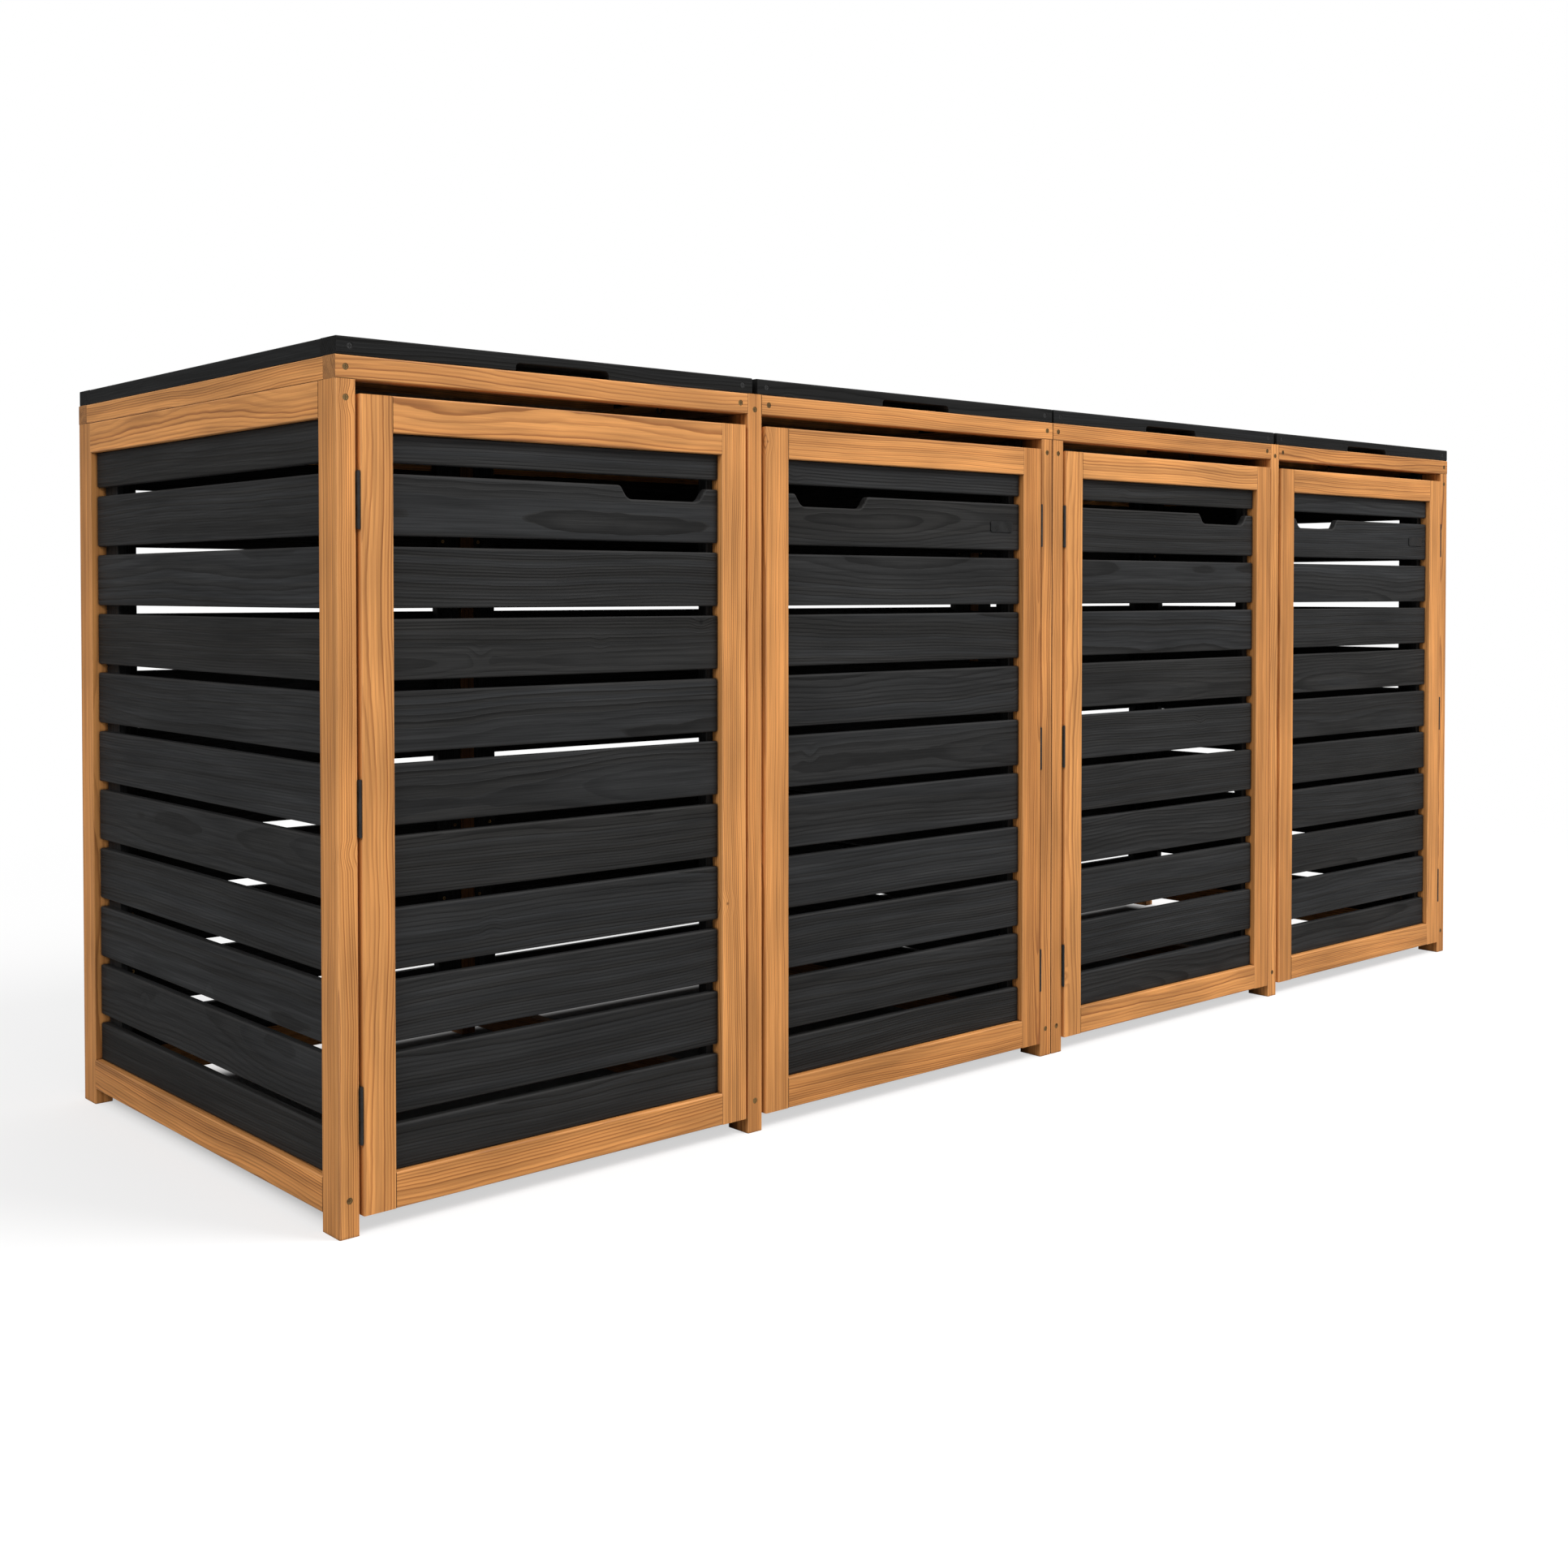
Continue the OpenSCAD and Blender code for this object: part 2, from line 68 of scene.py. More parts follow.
# the head of a small screw
SCREW_R = 0.0034
SCREW_PROUD = 0.0002
SCREW_DEEP = 0.002
SCREW_SIDES = 20
SCREW_TURN = 2.4  # each screw of a piece is turned this far from the one before
CROSS_ARM = 0.0019
CROSS_HALF = 0.00045
CROSS_TAPER = 0.6  # the size of the recess at its floor, as a share of its mouth

# where the small screws sit on battens and hinge leaves
TOUCH = 0.0002  # a batten this near a board lies against it
SCREW_ROOM = 0.010  # the narrowest contact that takes a screw
SCREW_PAIR = 0.040  # a contact longer than this takes two
SCREW_SPREAD = 0.25  # how far each of the two is from the middle, as a share of the contact
LEAF_LENGTH = 0.070  # a solid of a hinge that is longer than this is a leaf
LEAF_INSET = 0.008
LEAF_STEP = 0.028
DOOR_LEAF_T = 0.001
LID_LEAF_T = 0.0015

# ---------------------------------------------------------------- grain, in metres and per metre

BOARDS_PER_NODE = 64.0  # more than any node has, so that no two boards share a random number
END_GRAIN_ABOVE = 0.7  # the normal's share along the board, on a face that is end grain
ROUNDED_BELOW = 0.99  # the normal's largest share, on a face of a rounded edge

# each board's own part of the patterns, and how fine they are along the board and across it
OWN_SHIFT = (31.0, 7.0, 5.0)
FIBRE_SCALE = (7.0, 420.0, 420.0)
STREAK_SCALE = (2.2, 90.0, 90.0)
BLOTCH_SCALE = (4.0, 18.0, 18.0)
PATTERN_SPAN = (0.28, 0.72)

# growth rings: the pith, how it drifts, the waves on the rings, and the latewood in each
PITH_NEAR = 0.035
PITH_SPREAD = 0.07
DRIFT_SCALE = (1.7, 0.4, 0.4)
WIDE_WAVES = (7.0, 26.0, 26.0)
TIGHT_WAVES = (26.0, 40.0, 40.0)
TIGHT_SHARE = 0.3
WAVE_DETAIL = 1.5
LATE_RISE = (0.36, 0.88)
LATE_FALL = (1.0, 0.92)
FAINTEST_RING = 0.3

# knots: how far they push the rings aside, and their dark heart
KNOTS_PER_METRE = 5.0
KNOT_SWELL = 0.005
KNOT_REACH = (0.026, 0.002)
KNOT_HEART = (0.0052, 0.0034)
KNOT_DARK = 0.85

# a darker tone is a redder one, since it takes more of the green and blue
DEEPER_GREEN = 1.25
DEEPER_BLUE = 1.6

# edges lighter partly from rubbing and partly as a painted highlight, and painted shade in the joints and
# inside the store
WEAR_AND_SHEEN_SPAN = (0.35, 0.65)
LEAST_WEAR_AND_SHEEN = 0.4
JOINT_REACH = 0.005
JOINT_SPAN = (0.35, 0.85)
DEEP_INSIDE = (0.022, 0.050)

# relief, and how much rougher or smoother than its mean the timber gets
FIBRE_HEIGHT = 0.55
LATE_HEIGHT = 0.6
RELIEF = 0.0006
LATE_GLOSS = 0.4
GLOSS_SPAN = (0.2, 1.0)
TIMBER_ROUGH = (0.09, -0.06)

# metal and plastic: patches of wear, and the fine skin of the coating
PATCH_SCALE = 55.0
SKIN_SCALE = 1600.0
DULL_SPAN = (0.35, 0.7)
HANDLED_SPAN = (0.3, 0.75)
METAL_ROUGH = (-0.06, 0.12)
SKIN_RELIEF = 0.0003

# ---------------------------------------------------------------- camera, its lens in millimetres

EYE = Vector((-2.634, -2.658, 0.876))
EYE_PITCH = math.radians(1.258)
EYE_YAW = math.radians(41.683)
LENS = 41.25
LENS_SHIFT_Y = -0.0971

# ---------------------------------------------------------------- light, in watts and radiance

SKY_LOW = 0.35
SKY_HIGH = 0.75
SKY_RISE = (0.0, 0.8)
BACKDROP = 1.0
KEY_PLACE = Vector((3.0, -5.2, 6.6))
KEY_SIZE = 4.0
KEY_POWER = 560.0
SIDE_PLACE = Vector((-6.5, -2.5, 5.0))
SIDE_SIZE = 3.5
SIDE_POWER = 190.0
FLOOR_RADIUS = 40.0
FLOOR_SIDES = 128
FLOOR_WHITE = 0.93
FLOOR_BOUNCE = 0.4
FLOOR_GLOW = 0.6
FLOOR_FADE = (1.6, 4.0)
# the painted shadow on the floor under the store: its soft edge, how far back it is moved, and its grey
SHADE_INSET = (0.0, 0.10)
SHADE_BACK = 0.055
SHADE_GREY = 0.10


# ---------------------------------------------------------------- node trees


class Graph:
    """A node tree, with short calls for the nodes that materials and boards share."""

    def __init__(self, tree):
        self.tree = tree
        tree.nodes.clear()

    def feed(self, socket, value):
        if isinstance(value, bpy.types.NodeSocket):
            self.tree.links.new(value, socket)
        else:
            socket.default_value = value

    def add(self, kind, inputs=None, **settings):
        """A new node. inputs holds a value or another node's output for each named socket."""
        node = self.tree.nodes.new(kind)
        for key, value in settings.items():
            setattr(node, key, value)
        for name, value in (inputs or {}).items():
            self.feed(next(s for s in node.inputs if s.enabled and s.name == name), value)
        return node

    def first(self, node):
        """The first output that is in use, for nodes whose outputs depend on their settings."""
        return next(s for s in node.outputs if s.enabled)

    def math(self, operation, *values):
        node = self.add("ShaderNodeMath", operation=operation)
        for socket, value in zip(node.inputs, values):
            self.feed(socket, value)
        return node.outputs[0]

    def vector_math(self, operation, *values):
        node = self.add("ShaderNodeVectorMath", operation=operation)
        for socket, value in zip(node.inputs, values):
            self.feed(socket, value)
        return node.outputs[0]

    def split(self, vector):
        return self.add("ShaderNodeSeparateXYZ", {"Vector": vector}).outputs[:3]

    def join(self, x, y, z):
        return self.add("ShaderNodeCombineXYZ", {"X": x, "Y": y, "Z": z}).outputs[0]

    def stretch(self, vector, x, y, z):
        return self.vector_math("MULTIPLY", vector, (x, y, z))

    def noise(self, vector, scale=1.0, detail=2.0, roughness=0.5):
        inputs = {"Vector": vector, "Scale": scale, "Detail": detail, "Roughness": roughness}
        return self.add("ShaderNodeTexNoise", inputs).outputs[0]

    def span(self, value, low, high, to_low=0.0, to_high=1.0, smooth=True):
        """The value's place between low and high, as a number from to_low to to_high."""
        inputs = {"Value": value, "From Min": low, "From Max": high, "To Min": to_low, "To Max": to_high}
        kind = "SMOOTHSTEP" if smooth else "LINEAR"
        return self.add("ShaderNodeMapRange", inputs, interpolation_type=kind).outputs[0]

    def mix(self, factor, first, second, blend="MIX"):
        inputs = {"Factor": factor, "A": first, "B": second}
        return self.first(self.add("ShaderNodeMix", inputs, data_type="RGBA", blend_type=blend))

    def choose(self, test, otherwise, chosen):
        inputs = {"Switch": test, "False": otherwise, "True": chosen}
        return self.first(self.add("GeometryNodeSwitch", inputs, input_type="VECTOR"))

    def attribute(self, name):
        return self.add("ShaderNodeAttribute", attribute_name=name).outputs["Vector"]

    def surface(self, colour, roughness, height, bump, bump_depth, **plain):
        """The Principled shader and the output. plain holds the values that are the same all over."""
        inputs = {key.replace("_", " "): value for key, value in plain.items()}
        inputs.update({"Base Color": colour, "Roughness": roughness})
        shader = self.add("ShaderNodeBsdfPrincipled", inputs)
        relief = self.add("ShaderNodeBump", {"Strength": bump, "Distance": bump_depth, "Height": height})
        self.feed(shader.inputs["Normal"], relief.outputs[0])
        self.add("ShaderNodeOutputMaterial", {"Surface": shader.outputs[0]})

    def blend_shaders(self, share, first, second, output):
        """The first shader and, by share, the second, as the output."""
        blend = self.add("ShaderNodeMixShader")
        for socket, value in zip(blend.inputs, (share, first.outputs[0], second.outputs[0])):
            self.feed(socket, value)
        self.add(output, {"Surface": blend.outputs[0]})


def new_material(name):
    material = bpy.data.materials.new(name)
    material.use_nodes = True
    return material, Graph(material.node_tree)


def grey(value):
    return (value, value, value, 1)


def object_place(g):
    return g.add("ShaderNodeTexCoord").outputs["Object"]


def depth_inside(g, place):
    """How far a place, measured from the store's middle, lies inside its four sides."""
    reach_x, reach_y, _ = (HIGH - LOW) / 2
    x, y, _ = g.split(g.vector_math("ABSOLUTE", place))
    return g.math("MINIMUM", g.math("SUBTRACT", reach_x, x), g.math("SUBTRACT", reach_y, y))


# ---------------------------------------------------------------- boards and their grain


def grain_group():
    """A geometry node group that takes a geometry and a seed, and its graph, which is still empty."""
    group = bpy.data.node_groups.new("board_grain", "GeometryNodeTree")
    group.interface.new_socket("Geometry", in_out="INPUT", socket_type="NodeSocketGeometry")
    group.interface.new_socket("Seed", in_out="INPUT", socket_type="NodeSocketInt")
    group.interface.new_socket("Geometry", in_out="OUTPUT", socket_type="NodeSocketGeometry")
    return group, Graph(group)


def board_mean(g, vector, island):
    """The mean of a vector over the points of each board."""
    totals = []
    for value, kind in ((vector, "FLOAT_VECTOR"), (1.0, "FLOAT")):
        inputs = {"Value": value, "Group ID": island}
        node = g.add("GeometryNodeAccumulateField", inputs, data_type=kind, domain="POINT")
        totals.append(next(s for s in node.outputs if s.enabled and s.name == "Total"))
    total, count = totals
    return g.vector_math("DIVIDE", total, g.join(count, count, count))


def longest_side(g, local, island):
    """Whether each board is longest in X, and whether it is longer in Y than in Z."""
    squares = g.vector_math("MULTIPLY", local, local)
    spread_x, spread_y, spread_z = g.split(board_mean(g, squares, island))
    runs_x = g.math("GREATER_THAN", spread_x, g.math("MAXIMUM", spread_y, spread_z))
    return runs_x, g.math("GREATER_THAN", spread_y, spread_z)


def along_grain(g, vector, runs_x, runs_y):
    """The vector with its part along the board first."""
    x, y, z = g.split(vector)
    unless_x = g.choose(runs_y, g.join(z, x, y), g.join(y, x, z))
    return g.choose(runs_x, unless_x, g.join(x, y, z))


def grain_nodes():
    """Geometry nodes that store where each point lies in its own board.

    "grain" is the place along the board and across it, from its middle; the longest side is the grain.
    "board" is three random numbers for each board. "face" says which faces are end grain and which are
    rounded edges.
    """
    group, g = grain_group()
    given = g.add("NodeGroupInput").outputs
    island = g.add("GeometryNodeInputMeshIsland").outputs["Island Index"]
    place = g.add("GeometryNodeInputPosition").outputs[0]
    normal = g.add("GeometryNodeInputNormal").outputs[0]
    local = g.vector_math("SUBTRACT", place, board_mean(g, place, island))
    runs = longest_side(g, local, island)

    number = {"ID": g.math("MULTIPLY_ADD", given["Seed"], BOARDS_PER_NODE, island)}
    chance = g.first(g.add("FunctionNodeRandomValue", number, data_type="FLOAT_VECTOR"))
    end, side, other = g.split(g.vector_math("ABSOLUTE", along_grain(g, normal, *runs)))
    largest = g.math("MAXIMUM", end, g.math("MAXIMUM", side, other))
    is_end = g.math("GREATER_THAN", end, END_GRAIN_ABOVE)
    is_edge = g.math("LESS_THAN", largest, ROUNDED_BELOW)

    geometry = given["Geometry"]
    stores = (("grain", "POINT", along_grain(g, local, *runs)), ("board", "FACE", chance),
              ("face", "FACE", g.join(is_end, is_edge, 0.0)))
    for name, domain, value in stores:
        inputs = {"Geometry": geometry, "Name": name, "Value": value}
        node = g.add("GeometryNodeStoreNamedAttribute", inputs, data_type="FLOAT_VECTOR", domain=domain)
        geometry = node.outputs[0]
    g.feed(g.add("NodeGroupOutput").inputs[0], geometry)
    return group


def dress_boards(piece, edge, seed, group):
    """Joins the split faces of the boards, rounds their arrises by edge and stores their grain."""
    piece.modifiers.new("weld", "WELD").merge_threshold = WELD_REACH
    if edge:
        flat = piece.modifiers.new("flat", "DECIMATE")
        flat.decimate_type = "DISSOLVE"
        flat.angle_limit = FLAT_ANGLE
        bevel = piece.modifiers.new("arris", "BEVEL")
        bevel.width = edge
        bevel.segments = BEVEL_STEPS
        bevel.limit_method = "ANGLE"
        bevel.angle_limit = ARRIS_ANGLE
    grain = piece.modifiers.new("grain", "NODES")
    grain.node_group = group
    seed_socket = next(s for s in group.interface.items_tree if s.name == "Seed")
    grain[seed_socket.identifier] = seed


# ---------------------------------------------------------------- timber


def pith_place(g, chance, lean):
    """Where the middle of the rings lies, off one corner of the board and turned from it by lean."""
    corner_chance, reach_chance, _ = g.split(chance)
    quarter = g.math("MULTIPLY", corner_chance, 4.0)
    turned = g.math("MULTIPLY", g.math("SUBTRACT", g.math("FRACT", quarter), 0.5), lean)
    turn = g.math("ADD", g.math("FLOOR", quarter), g.math("ADD", turned, 0.5))
    angle = g.math("MULTIPLY", turn, math.pi / 2)
    reach = g.math("MULTIPLY_ADD", reach_chance, PITH_SPREAD, PITH_NEAR)
    return g.join(0.0, g.math("MULTIPLY", reach, g.math("COSINE", angle)),
                  g.math("MULTIPLY", reach, g.math("SINE", angle)))


def pith_distance(g, place, own, chance, look):
    """How far a point lies from the pith, which wanders along the board, with waves on the rings."""
    drift = {"Vector": g.stretch(own, *DRIFT_SCALE), "Scale": 1.0, "Detail": WAVE_DETAIL}
    wander = g.add("ShaderNodeTexNoise", drift).outputs["Color"]
    wander = g.vector_math("SUBTRACT", wander, (0.5, 0.5, 0.5))
    wander = g.vector_math("MULTIPLY", wander, (0.0, look["sway"], look["sway"]))
    from_pith = g.vector_math("SUBTRACT", place, pith_place(g, chance, look["lean"]))
    across = g.stretch(g.vector_math("ADD", from_pith, wander), 0.0, 1.0, 1.0)
    radius = g.add("ShaderNodeVectorMath", {"Vector": across}, operation="LENGTH").outputs["Value"]
    for scale, size in ((WIDE_WAVES, look["ripple"]), (TIGHT_WAVES, look["ripple"] * TIGHT_SHARE)):
        wave = g.noise(g.stretch(own, *scale), detail=WAVE_DETAIL)
        radius = g.math("MULTIPLY_ADD", g.math("SUBTRACT", wave, 0.5), size, radius)
    return radius


def knot_distance(g, own):
    scattered = {"Vector": own, "Scale": KNOTS_PER_METRE}
    distance = g.add("ShaderNodeTexVoronoi", scattered).outputs["Distance"]
    return g.math("DIVIDE", distance, KNOTS_PER_METRE)


def growth_rings(g, radius, knot, ring_chance, spacing):
    """How much of each point is latewood, and each ring's own tone."""
    swell = g.span(knot, *KNOT_REACH, 0.0, KNOT_SWELL)
    phase = g.math("DIVIDE", g.math("ADD", radius, swell), spacing)
    ring = g.math("FRACT", phase)
    number = {"W": g.math("ADD", g.math("FLOOR", phase), ring_chance)}
    tone = g.add("ShaderNodeTexWhiteNoise", number, noise_dimensions="1D").outputs["Value"]
    late = g.math("MULTIPLY", g.span(ring, *LATE_RISE), g.span(ring, *LATE_FALL))
    late = g.math("MULTIPLY", late, g.math("MULTIPLY_ADD", tone, 1.0 - FAINTEST_RING, FAINTEST_RING))
    return late, tone


def board_colour(g, stain, look, late, tone, board_chance, patterns):
    """The stain on early and late wood, varied by the patterns, by the rings and by the boards."""
    colour = g.mix(g.math("MULTIPLY", late, look["rings"]), stain["early"], stain["late"])
    for name, pattern in patterns.items():
        share = g.span(pattern, *PATTERN_SPAN, 1.0 - look[name], 1.0 + look[name], False)
        colour = g.mix(1.0, colour, share, "MULTIPLY")
    ring_tone = g.span(tone, 0.0, 1.0, 1.0 + look["bands"], 1.0 - look["bands"], False)
    board_tone = g.math("MULTIPLY_ADD", board_chance, look["boards"], 1.0 - look["boards"] / 2)
    red = g.math("MULTIPLY", ring_tone, board_tone)
    deeper = g.join(red, g.math("POWER", red, DEEPER_GREEN), g.math("POWER", red, DEEPER_BLUE))
    return g.mix(1.0, colour, deeper, "MULTIPLY")


def end_grain_and_edges(g, colour, stain, look, streak):
    """Tints the end grain, and lightens the rounded edges, partly as rubbing and partly as a painted
    highlight.
    """
    end, edge, _ = g.split(g.attribute("face"))
    colour = g.mix(g.math("MULTIPLY", end, look["end"]), colour, stain["end"], "MULTIPLY")
    wear_and_sheen = g.span(streak, *WEAR_AND_SHEEN_SPAN, look["wear_and_sheen"] * LEAST_WEAR_AND_SHEEN, look["wear_and_sheen"])
    return g.mix(g.math("MULTIPLY", edge, wear_and_sheen), colour, stain["worn_and_sheen"])


def darken(g, colour, shade):
    return g.mix(1.0, colour, g.join(shade, shade, shade), "MULTIPLY")


def shade_joints(g, colour, depth):
    """Paints shade into the joints between boards, by depth, where other boards lie near."""
    seam = g.add("ShaderNodeAmbientOcclusion", {"Distance": JOINT_REACH}, samples=4).outputs["AO"]
    return darken(g, colour, g.span(seam, *JOINT_SPAN, 1.0 - depth, 1.0))


def shade_inside(g, colour, depth):
    """Darkens what lies deep inside the store by depth, since little light gets there."""
    from_middle = g.vector_math("SUBTRACT", object_place(g), MIDDLE)
    to_top = g.math("SUBTRACT", HIGH.z - MIDDLE.z, g.split(from_middle)[2])
    inside = g.math("MINIMUM", depth_inside(g, from_middle), to_top)
    return darken(g, colour, g.span(inside, *DEEP_INSIDE, 1.0, 1.0 - depth))


def timber(name, stain, look, spacing):
    """Stained softwood with its growth rings at the given spacing.

    stain holds the colours. look says how strong each effect is: lean, sway and ripple bend the rings;
    rings, fibre, streak, blotch, bands and boards vary the colour; end is for end grain; the edge
    setting lightens the rounded edges, partly as rubbing and partly as a painted highlight; joints and
    inside are painted shade; rough, bump and shine make the surface. The wider the lean, the more
    boards have a face that lies along the rings, with arched grain.
    """
    material, g = new_material(name)
    place = g.attribute("grain")
    chance = g.attribute("board")
    _, board_chance, ring_chance = g.split(chance)
    own = g.vector_math("ADD", place, g.vector_math("MULTIPLY", chance, OWN_SHIFT))
    knot = knot_distance(g, own)
    late, tone = growth_rings(g, pith_distance(g, place, own, chance, look), knot, ring_chance, spacing)
    fibre = g.noise(g.stretch(own, *FIBRE_SCALE), detail=3.0, roughness=0.6)
    streak = g.noise(g.stretch(own, *STREAK_SCALE))
    blotch = g.noise(g.stretch(own, *BLOTCH_SCALE))

    patterns = {"fibre": fibre, "streak": streak, "blotch": blotch}
    colour = board_colour(g, stain, look, late, tone, board_chance, patterns)
    colour = g.mix(g.span(knot, *KNOT_HEART, 0.0, KNOT_DARK), colour, stain["knot"])
    colour = end_grain_and_edges(g, colour, stain, look, streak)
    if "joints" in look:
        colour = shade_joints(g, colour, look["joints"])
        colour = shade_inside(g, colour, look["inside"])

    gloss = g.math("ADD", fibre, g.math("MULTIPLY", late, LATE_GLOSS))
    rough = g.span(gloss, *GLOSS_SPAN, *(look["rough"] + change for change in TIMBER_ROUGH))
    height = g.math("ADD", g.math("MULTIPLY", fibre, FIBRE_HEIGHT), g.math("MULTIPLY", late, LATE_HEIGHT))
    g.surface(colour, rough, height, look["bump"], RELIEF, Specular_IOR_Level=look["shine"])
    return material


def frame_timber():
    # the last colour lightens the rounded edges, partly as rubbing and partly as a painted highlight
    stain = {"early": (0.60, 0.259, 0.075, 1), "late": (0.25, 0.082, 0.020, 1),
             "knot": (0.12, 0.042, 0.014, 1), "end": (0.50, 0.53, 0.60, 1), "worn_and_sheen": (0.72, 0.36, 0.15, 1)}
    look = {"lean": 0.65, "sway": 0.030, "ripple": 0.0034, "rings": 0.85, "fibre": 0.14,
            "streak": 0.18, "blotch": 0.20, "bands": 0.07, "boards": 0.24, "end": 0.75, "wear_and_sheen": 0.35,
            "joints": 0.8, "inside": 0.75, "rough": 0.56, "bump": 0.3, "shine": 0.25}
    return timber("oiled_frame_timber", stain, look, spacing=0.0031)


def dark_timber(name, early, late, spacing, shine, bump):
    # the last colour lightens the rounded edges, partly as rubbing and partly as a painted highlight
    stain = {"early": grey(early), "late": grey(late), "knot": grey(0.004), "end": grey(0.7),
             "worn_and_sheen": (0.032, 0.031, 0.030, 1)}
    look = {"lean": 0.8, "sway": 0.036, "ripple": 0.0036, "rings": 1.0, "fibre": 0.30,
            "streak": 0.24, "blotch": 0.20, "bands": 0.10, "boards": 0.18, "end": 0.5, "wear_and_sheen": 0.5,
            "rough": 0.60, "bump": bump, "shine": shine}
    return timber(name, stain, look, spacing)


# ---------------------------------------------------------------- metal and plastic


def metal(name, colour, dull, metallic, rough, bump, **plain):
    """Plated or coated metal, or plastic: a fine skin, duller patches and slight handling marks."""
    material, g = new_material(name)
    place = object_place(g)
    patches = g.noise(place, PATCH_SCALE, detail=3.0, roughness=0.6)
    skin = g.noise(place, SKIN_SCALE, roughness=0.6)
    tint = g.mix(g.span(patches, *DULL_SPAN), colour, dull)
    roughness = g.span(patches, *HANDLED_SPAN, *(rough + change for change in METAL_ROUGH))
    g.surface(tint, roughness, skin, bump, SKIN_RELIEF, Metallic=metallic, **plain)
    return material


# ---------------------------------------------------------------- stage


def make_camera():
    data = bpy.data.cameras.new("camera")
    data.lens = LENS
    data.shift_y = LENS_SHIFT_Y
    camera = bpy.data.objects.new("camera", data)
    camera.location = EYE
    camera.rotation_euler = (math.pi / 2 - EYE_PITCH, 0.0, -EYE_YAW)
    bpy.context.scene.collection.objects.link(camera)
    bpy.context.scene.camera = camera


def floor_shade(g, place):
    """1 on the floor well inside the footprint, where little light falls, and 0 outside it."""
    patch = g.vector_math("SUBTRACT", place, (0.0, SHADE_BACK, 0.0))
    return g.span(depth_inside(g, patch), *SHADE_INSET)


def floor_material():
    """Pale paint with a painted shadow under the store. It turns to plain white away from the object."""
    material, g = new_material("pale_floor")
    place = object_place(g)
    away = g.add("ShaderNodeVectorMath", {"Vector": place}, operation="LENGTH").outputs["Value"]
    shade = floor_shade(g, place)
    seen = g.add("ShaderNodeLightPath").outputs["Is Camera Ray"]
    pale = g.mix(seen, grey(FLOOR_BOUNCE), grey(FLOOR_WHITE))
    paint = g.add("ShaderNodeBsdfDiffuse", {"Color": g.mix(shade, pale, grey(SHADE_GREY))})
    glow = g.add("ShaderNodeEmission", {"Color": grey(1.0), "Strength": BACKDROP})
    share = g.math("MULTIPLY", g.span(away, *FLOOR_FADE, FLOOR_GLOW, 1.0), g.math("SUBTRACT", 1.0, shade))
    g.blend_shaders(g.math("MULTIPLY", share, seen), paint, glow, "ShaderNodeOutputMaterial")
    return material


def make_floor():
    mesh = bpy.data.meshes.new("floor")
    disc = bmesh.new()
    bmesh.ops.create_circle(disc, cap_ends=True, segments=FLOOR_SIDES, radius=FLOOR_RADIUS)
    disc.to_mesh(mesh)
    disc.free()
    mesh.materials.append(floor_material())
    floor = bpy.data.objects.new("floor", mesh)
    floor.location = (MIDDLE.x, MIDDLE.y, LOW.z)
    bpy.context.scene.collection.objects.link(floor)


def make_world():
    """Soft light, stronger from above; what the camera sees of it is the white backdrop."""
    world = bpy.data.worlds.new("studio")
    world.use_nodes = True
    bpy.context.scene.world = world
    g = Graph(world.node_tree)
    _, _, up = g.split(g.add("ShaderNodeTexCoord").outputs["Generated"])
    sky = g.span(up, *SKY_RISE, SKY_LOW, SKY_HIGH)
    fill = g.add("ShaderNodeBackground", {"Color": grey(1.0), "Strength": sky})
    backdrop = g.add("ShaderNodeBackground", {"Color": grey(1.0), "Strength": BACKDROP})
    seen = g.add("ShaderNodeLightPath").outputs["Is Camera Ray"]
    g.blend_shaders(seen, fill, backdrop, "ShaderNodeOutputWorld")


def make_light(name, place, size, power):
    """A large round light that faces the middle of the object."""
    data = bpy.data.lights.new(name, "AREA")
    data.shape = "DISK"
    data.size = size
    data.energy = power
    light = bpy.data.objects.new(name, data)
    light.location = place
    light.rotation_euler = (MIDDLE - place).to_track_quat("-Z", "Y").to_euler()
    bpy.context.scene.collection.objects.link(light)


# ---------------------------------------------------------------- small screws


def solids(node):
    """The lowest and highest corner of each separate solid of a CAD node."""
    mesh = bmesh.new()
    mesh.from_mesh(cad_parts[node].data)
    bmesh.ops.remove_doubles(mesh, verts=mesh.verts, dist=WELD_REACH)
    boxes = []
    seen = set()
    for start in mesh.verts:
        waiting = [] if start in seen else [start]
        seen.add(start)
        corners = [vertex.co.copy() for vertex in waiting]
        while waiting:
            for edge in waiting.pop().link_edges:
                for other in edge.verts:
                    if other not in seen:
                        seen.add(other)
                        waiting.append(other)
                        corners.append(other.co.copy())
        if corners:
            boxes.append((Vector(map(min, zip(*corners))), Vector(map(max, zip(*corners)))))
    mesh.free()
    return boxes


def ring_of(head, radius, height):
    turns = [math.tau * i / SCREW_SIDES for i in range(SCREW_SIDES)]
    return [head.verts.new((radius * math.cos(t), radius * math.sin(t), height)) for t in turns]


def cross_of(head, size, height):
    """The twelve corners of an upright cross."""
    arm, half = CROSS_ARM * size, CROSS_HALF * size
    x, y = Vector((1, 0)), Vector((0, 1))
    points = []
    for _ in range(4):
        points += [x * arm - y * half, x * arm + y * half, x * half + y * half]
        x, y = y, -x
    return [head.verts.new((*point, height)) for point in points]


def bridge(head, low, high):
    for i in range(len(low)):
        head.faces.new((low[i - 1], low[i], high[i], high[i - 1]))


